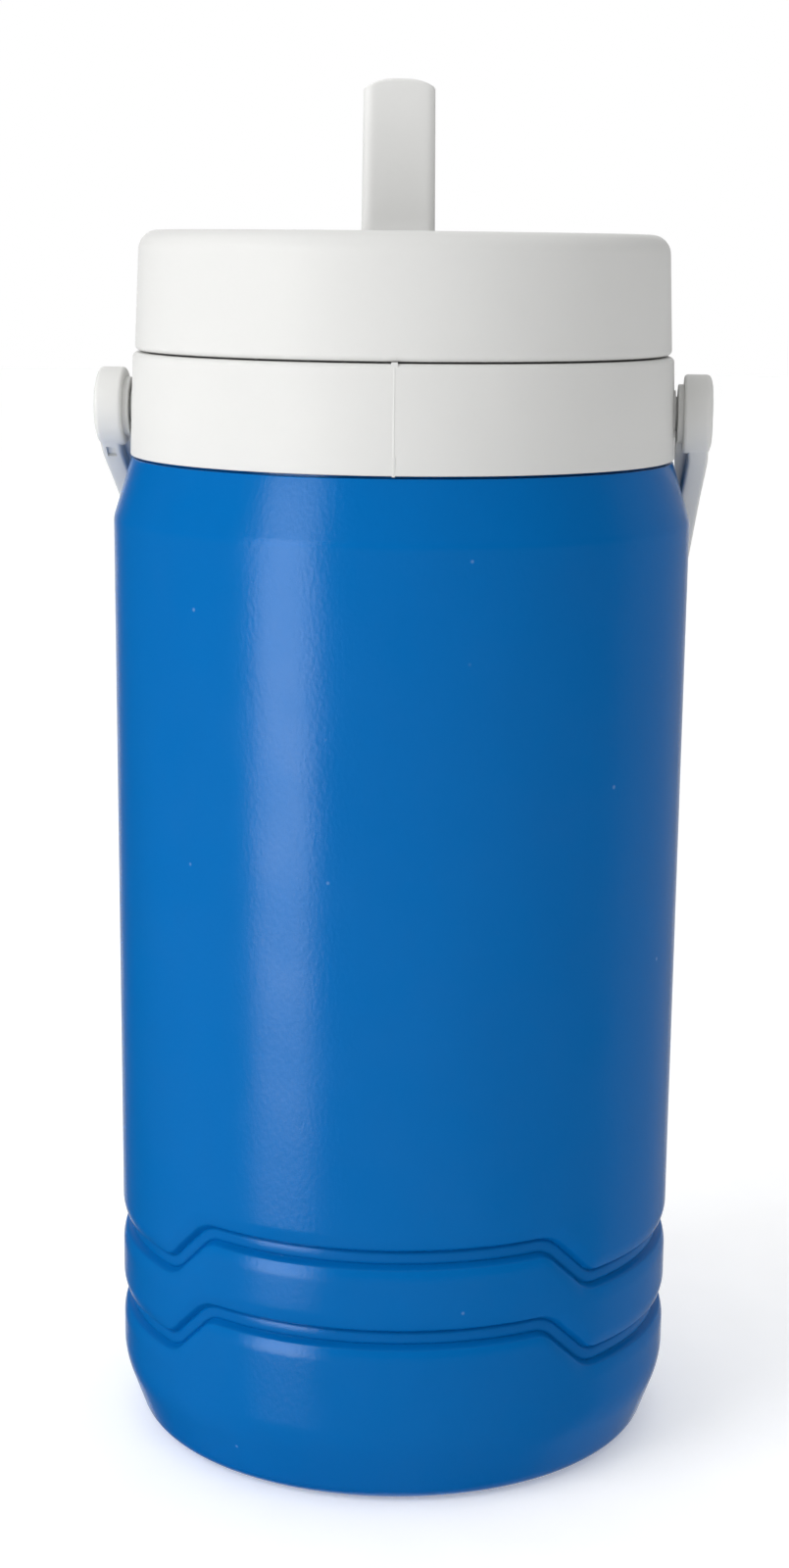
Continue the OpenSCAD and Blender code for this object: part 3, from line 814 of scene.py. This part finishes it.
def make_bail():
    bail = make_strap()
    combine(bail, arm_pockets(), "DIFFERENCE")
    combine(bail, [arm_web(1), arm_web(-1), bail_end(1), bail_end(-1)], "UNION")
    placed(bail, Matrix.Translation((0, 0, pivot_z * MM)) @ Matrix.Rotation(BAIL_HANG, 4, "X"))
    finish_piece(bail, WHITE, "bail", "white_plastic", "bail_handle")


# ---------------------------------------------------------------- lid

COVER_WALL = 2.5
COVER_TAPER = 1.1
COVER_INNER_R = 59.8
LID_EDGE = 4.6
FLANGE_Z = 281.0
RIB_IN = 55             # the rib under the deck that locates the lid pan
RIB_OUT = 57
RIB_Z = FLANGE_Z + 2
SPOUT_LEN = TIP_Z - hinge.z
POCKET_W = 18.3
POCKET_FLOOR = 277.1
POCKET_BASE = 2.1
POCKET_WALL = 3.0
POCKET_GAP = 4          # past the tip of the folded spout
WELL_R = 13.5
WELL_Z = 281.9
WELL_WALL = 2
BARREL_R = 6.0
BARREL_HALF = 8.75
BARREL_GAP = 0.3
TRUNNION_R = 2.5
TRUNNION_X = 11.2
PORT_R = 5.6
PORT_BOSS_R = 8.5
PORT_Z = 270
VENT_R = 1.0
VENT_Y = -5


def make_lid_cover():
    deck = LID_TOP - COVER_WALL
    outline = rounded([
        (LID_R, LID_Z, 1.2),
        (LID_R - COVER_TAPER, LID_TOP, LID_EDGE),
        (0, LID_TOP, 0),
        (0, deck, 0),
        (RIB_IN, deck, 0),
        (RIB_IN, RIB_Z, 0),
        (RIB_OUT, RIB_Z, 0),
        (RIB_OUT, deck, 0),
        (COVER_INNER_R, deck, 2),
        (COVER_INNER_R, FLANGE_Z, 0),
        (LID_R - COVER_WALL, LID_Z, 0),
    ], steps=10)
    cover = lathe("lid_cover_skin", outline, 360)

    # The pocket that the spout folds into, and the finger well round its folded tip
    front = hinge_y - SPOUT_LEN - POCKET_GAP
    back = hinge_y + BARREL_R + 1.5
    well_y = hinge_y - SPOUT_LEN + 2
    half = POCKET_W / 2
    bodies = [
        block("pocket_body", (-half - POCKET_WALL, front - POCKET_WALL, POCKET_FLOOR - POCKET_BASE),
              (half + POCKET_WALL, back + POCKET_WALL, deck + 0.5)),
        rod("well_body", WELL_R + WELL_WALL, (0, well_y, WELL_Z - WELL_WALL), (0, well_y, deck + 0.6), 96),
        rod("port_boss", PORT_BOSS_R, (0, hinge_y, PORT_Z + 1), (0, hinge_y, POCKET_FLOOR - 1)),
    ]
    combine(cover, bodies, "UNION")
    over = LID_TOP + 5
    bore_x = TRUNNION_X + 0.2
    bore_r = TRUNNION_R + 0.06
    cuts = [
        block("pocket", (-half, front, POCKET_FLOOR), (half, back, over)),
        rod("well", WELL_R, (0, well_y, WELL_Z), (0, well_y, over), 96),
        rod("saddle", BARREL_R + BARREL_GAP, (-half, hinge_y, hinge.z), (half, hinge_y, hinge.z)),
        rod("trunnion_bore", bore_r, (-bore_x, hinge_y, hinge.z), (bore_x, hinge_y, hinge.z), 48),
        rod("port", PORT_R, (0, hinge_y, PORT_Z), (0, hinge_y, hinge.z)),
        rod("vent", VENT_R, (0, VENT_Y, PORT_Z), (0, VENT_Y, POCKET_FLOOR + 1), 24),
    ]
    combine(cover, cuts, "DIFFERENCE")
    bevelled(cover, 0.45)
    placed(cover, Matrix.Rotation(lid_turn, 4, "Z"))
    finish_piece(cover, WHITE, "lid", "white_plastic", "lid_cover")


# ---------------------------------------------------------------- spout

SPOUT_BASE_W = 17.4
SPOUT_TIP_W = 16.7
SPOUT_D = 9.4
SPOUT_CORNER = 0.14     # corner radius as a share of the width and of the depth
ARCH_RISE = 1.75
ARCH_POWER = 2.8
ARCH_FROM = 20          # distance from the hinge where the rings start to arch
ARCH_RUN = 16
TIP_ROUND = 0.7
TIP_STEPS = 6
MOUTH_W = 11.0
MOUTH_D = 5.2


def unit_slot():
    """(x, y) points round a rounded unit square. Every ring of the spout is a stretched one."""
    corners = [(0.5, 0.5), (-0.5, 0.5), (-0.5, -0.5), (0.5, -0.5)]
    points = rounded([(x, y, SPOUT_CORNER) for x, y in corners])
    return subdivided(points + points[:1], 0.05)[:-1]


def spout_ring(width, depth, z, share):
    """A ring of the spout at height z over its hinge. share is how far it takes up the tip's arch."""
    ring = []
    for x, y in unit_slot():
        arch = ARCH_RISE * share * (1 - abs(2 * x) ** ARCH_POWER)
        ring.append((x * width, y * depth, z + arch))
    return ring


def spout_rings():
    """Rings up the outside, over the rounded tip and down the inside of the mouth."""
    rings = []
    for z in (0, 10, 20, 30):
        width = SPOUT_BASE_W + (SPOUT_TIP_W - SPOUT_BASE_W) * z / SPOUT_LEN
        rings.append(spout_ring(width, SPOUT_D, z, smooth((z - ARCH_FROM) / ARCH_RUN)))
    brim = SPOUT_LEN - ARCH_RISE
    shoulder = brim - TIP_ROUND
    for k in range(TIP_STEPS + 1):
        a = math.radians(90 * k / TIP_STEPS)
        inset = 2 * TIP_ROUND * (1 - math.cos(a))
        z = shoulder + TIP_ROUND * math.sin(a)
        rings.append(spout_ring(SPOUT_TIP_W - inset, SPOUT_D - inset, z, 1))
    mouth = [(1.0, brim, 1), (0.2, brim - 0.4, 1), (0, shoulder, 1), (0, 20, 0), (0, 4, 0)]
    for wider, z, share in mouth:
        rings.append(spout_ring(MOUTH_W + wider, MOUTH_D + wider, z, share))
    return rings


def make_spout():
    bm = bmesh.new()
    skin(bm, spout_rings(), loop=False)
    spout = new_piece("spout_skin", bm, crease=40)
    barrel = rod("barrel", BARREL_R, (-BARREL_HALF, 0, 0), (BARREL_HALF, 0, 0), 96)
    pins = rod("trunnions", TRUNNION_R, (-TRUNNION_X, 0, 0), (TRUNNION_X, 0, 0), 48)
    combine(spout, [barrel, pins], "UNION", 40)
    bore = rod("bore", MOUTH_D / 2, (0, 0, -BARREL_R - 1), (0, 0, 5))
    combine(spout, [bore], "DIFFERENCE", 40)
    placed(spout, Matrix.Translation((0, hinge_y * MM, hinge.z * MM)))
    placed(spout, Matrix.Rotation(lid_turn, 4, "Z"))
    finish_piece(spout, SPOUT_WHITE_PAINTED_BRIGHTER, "spout", "spout_white", "spout")


# ---------------------------------------------------------------- carried-over CAD nodes

def dress_cad_nodes():
    """The pieces inside and underneath keep their CAD shape and get their real material."""
    looks = {
        "base_plug": BLUE,
        "insulation_foam": FOAM,
        "inner_liner": LINER_WHITE,
        "lid_pan": LINER_WHITE,
        "lid_foam": FOAM,
        "lid_gasket": RUBBER,
        "port_tube": LINER_WHITE,
        "spout_seal": RUBBER,
        "air_valve": RUBBER,
    }
    for name, material in looks.items():
        node = frame["nodes"][name]
        node.data.materials.clear()
        node.data.materials.append(material)


# ---------------------------------------------------------------- stage, light and camera

# Distances are in metres here, and azimuths in degrees from the camera, positive to its right
CAMERA_AZIMUTH = 4.1    # from straight in front of the jug
CAMERA_DISTANCE = 0.6493
CAMERA_HEIGHT = 0.2845
CAMERA_PITCH = 11.06
CAMERA_YAW = 0.093
CAMERA_ROLL = 0.60
CAMERA_LENS = 62.54

# (azimuth, brightness) stops
MIRRORED_WINDOW = [(-62, 0), (-55, 0.9), (-44, 1), (-38, 1), (-30, 0)]
MIRRORED_BACKDROP = [(-180, 1), (-164, 0.9), (-156, 0.1), (-140, 0), (88, 0), (104, 0.3),
                     (158, 0.3), (168, 0.9), (180, 1)]
AMBIENT = [(-180, 0.75), (-90, 0.5), (0, 0.16), (45, 0.08), (90, 0.32), (180, 0.7)]
AMBIENT_OVERHEAD = 1.15
WINDOW_LEVEL = 15
WINDOW_LOW = (-0.4, -0.21)      # sines of the elevations over which its lower edge fades in
WINDOW_HIGH = (0.36, 0.6)       # and over which its upper edge fades out
LAMP_AIM = 0.16

def make_stage():
    bm = bmesh.new()
    bmesh.ops.create_circle(bm, cap_ends=True, segments=96, radius=FLOOR_R)
    floor = new_piece("floor", bm)
    floor.data.materials.append(floor_material())
    floor.visible_glossy = False


def by_azimuth(nodes, links, direction, stops):
    """Brightness by azimuth, through (azimuth, brightness) stops."""
    turned = nodes.new("ShaderNodeMapping")
    turned.inputs["Rotation"].default_value = (0, 0, math.radians(90 - CAMERA_AZIMUTH))
    links.new(direction, turned.inputs["Vector"])
    sweep = nodes.new("ShaderNodeTexGradient")
    sweep.gradient_type = "RADIAL"
    links.new(turned.outputs["Vector"], sweep.inputs["Vector"])
    return ramp(nodes, links, sweep.outputs["Fac"],
                [(0.5 + degrees / 360, (level, level, level)) for degrees, level in stops])


def background(nodes, links, strength, scale=1.0):
    """A white background shader with the given strength socket."""
    node = nodes.new("ShaderNodeBackground")
    node.inputs["Color"].default_value = (1, 1, 1, 1)
    scaled = nodes.new("ShaderNodeMath")
    scaled.operation = "MULTIPLY"
    scaled.inputs[1].default_value = scale
    links.new(strength, scaled.inputs[0])
    links.new(scaled.outputs["Value"], node.inputs["Strength"])
    return node.outputs["Background"]


def mirrored_light(nodes, links, direction, height):
    """What glossy surfaces mirror: the window, and a pale backdrop behind the jug."""
    window = by_azimuth(nodes, links, direction, MIRRORED_WINDOW)
    low = ranged(nodes, links, height, 0, 1, *WINDOW_LOW)
    high = ranged(nodes, links, height, 1, 0, *WINDOW_HIGH)
    lit = product(nodes, links, window, product(nodes, links, low, high))
    backdrop = by_azimuth(nodes, links, direction, MIRRORED_BACKDROP)
    both = nodes.new("ShaderNodeAddShader")
    links.new(background(nodes, links, lit, WINDOW_LEVEL), both.inputs[0])
    links.new(background(nodes, links, backdrop), both.inputs[1])
    return both.outputs["Shader"]


def ambient_light(nodes, links, direction, height):
    """What lights matt surfaces: pale behind, dark in front and brightest overhead."""
    overhead = nodes.new("ShaderNodeMix")
    links.new(ranged(nodes, links, height, 0, 1, 0.2, 1.0), overhead.inputs[0])
    links.new(by_azimuth(nodes, links, direction, AMBIENT), overhead.inputs[2])
    overhead.inputs[3].default_value = AMBIENT_OVERHEAD
    return background(nodes, links, overhead.outputs[0])


def either_shader(nodes, links, chooser, at_zero, at_one):
    """One of two shaders, by a socket that is 0 or 1."""
    node = nodes.new("ShaderNodeMixShader")
    links.new(chooser, node.inputs["Fac"])
    links.new(at_zero, node.inputs[1])
    links.new(at_one, node.inputs[2])
    return node.outputs["Shader"]


def make_world():
    """A photographer's tent: a tall window of light to the left, pale behind, dark in front."""
    world = bpy.data.worlds.new("studio")
    bpy.context.scene.world = world
    world.use_nodes = True
    nodes, links = world.node_tree.nodes, world.node_tree.links
    nodes.clear()
    coords = nodes.new("ShaderNodeTexCoord")
    direction = coords.outputs["Generated"]
    split = nodes.new("ShaderNodeSeparateXYZ")
    links.new(direction, split.inputs["Vector"])
    height = split.outputs["Z"]

    mirrored = mirrored_light(nodes, links, direction, height)
    ambient = ambient_light(nodes, links, direction, height)
    plain = nodes.new("ShaderNodeBackground")
    plain.inputs["Color"].default_value = (1, 1, 1, 1)

    rays = nodes.new("ShaderNodeLightPath")
    unseen = either_shader(nodes, links, rays.outputs["Is Glossy Ray"], ambient, mirrored)
    light = either_shader(nodes, links, rays.outputs["Is Camera Ray"], unseen,
                          plain.outputs["Background"])
    out = nodes.new("ShaderNodeOutputWorld")
    links.new(light, out.inputs["Surface"])
    # Lamps aside, light comes only along bounced rays, so that mirrored and ambient light stay apart
    world.cycles.sampling_method = "NONE"


def softbox(name, azimuth, distance, height, size, power):
    """A rectangular light that faces the jug."""
    data = bpy.data.lights.new(name, "AREA")
    data.shape = "RECTANGLE"
    data.size, data.size_y = size
    data.energy = power
    light = bpy.data.objects.new(name, data)
    a = math.radians(CAMERA_AZIMUTH + azimuth)
    light.location = (distance * math.sin(a), -distance * math.cos(a), height)
    aim = Vector((0, 0, LAMP_AIM)) - light.location
    light.rotation_euler = aim.to_track_quat("-Z", "Y").to_euler()
    # The world's window is what shows in reflections
    light.visible_glossy = False
    bpy.context.scene.collection.objects.link(light)


def make_camera():
    data = bpy.data.cameras.new("camera")
    data.lens = CAMERA_LENS
    data.sensor_width = 36
    camera = bpy.data.objects.new("camera", data)
    a = math.radians(CAMERA_AZIMUTH)
    spot = (CAMERA_DISTANCE * math.sin(a), -CAMERA_DISTANCE * math.cos(a), CAMERA_HEIGHT)
    place = Matrix.Translation(spot)
    turn = Matrix.Rotation(math.radians(CAMERA_AZIMUTH + CAMERA_YAW), 4, "Z")
    tilt = Matrix.Rotation(math.radians(90 - CAMERA_PITCH), 4, "X")
    roll = Matrix.Rotation(math.radians(CAMERA_ROLL), 4, "Z")
    camera.matrix_world = place @ turn @ tilt @ roll
    bpy.context.scene.collection.objects.link(camera)
    bpy.context.scene.camera = camera


bpy.context.scene.view_settings.view_transform = "Standard"
make_outer_shell()
make_collar()
make_bail()
make_lid_cover()
make_spout()
dress_cad_nodes()
make_stage()
make_world()
softbox("key", azimuth=-50, distance=1.1, height=0.72, size=(0.7, 1.0), power=8.3)
make_camera()
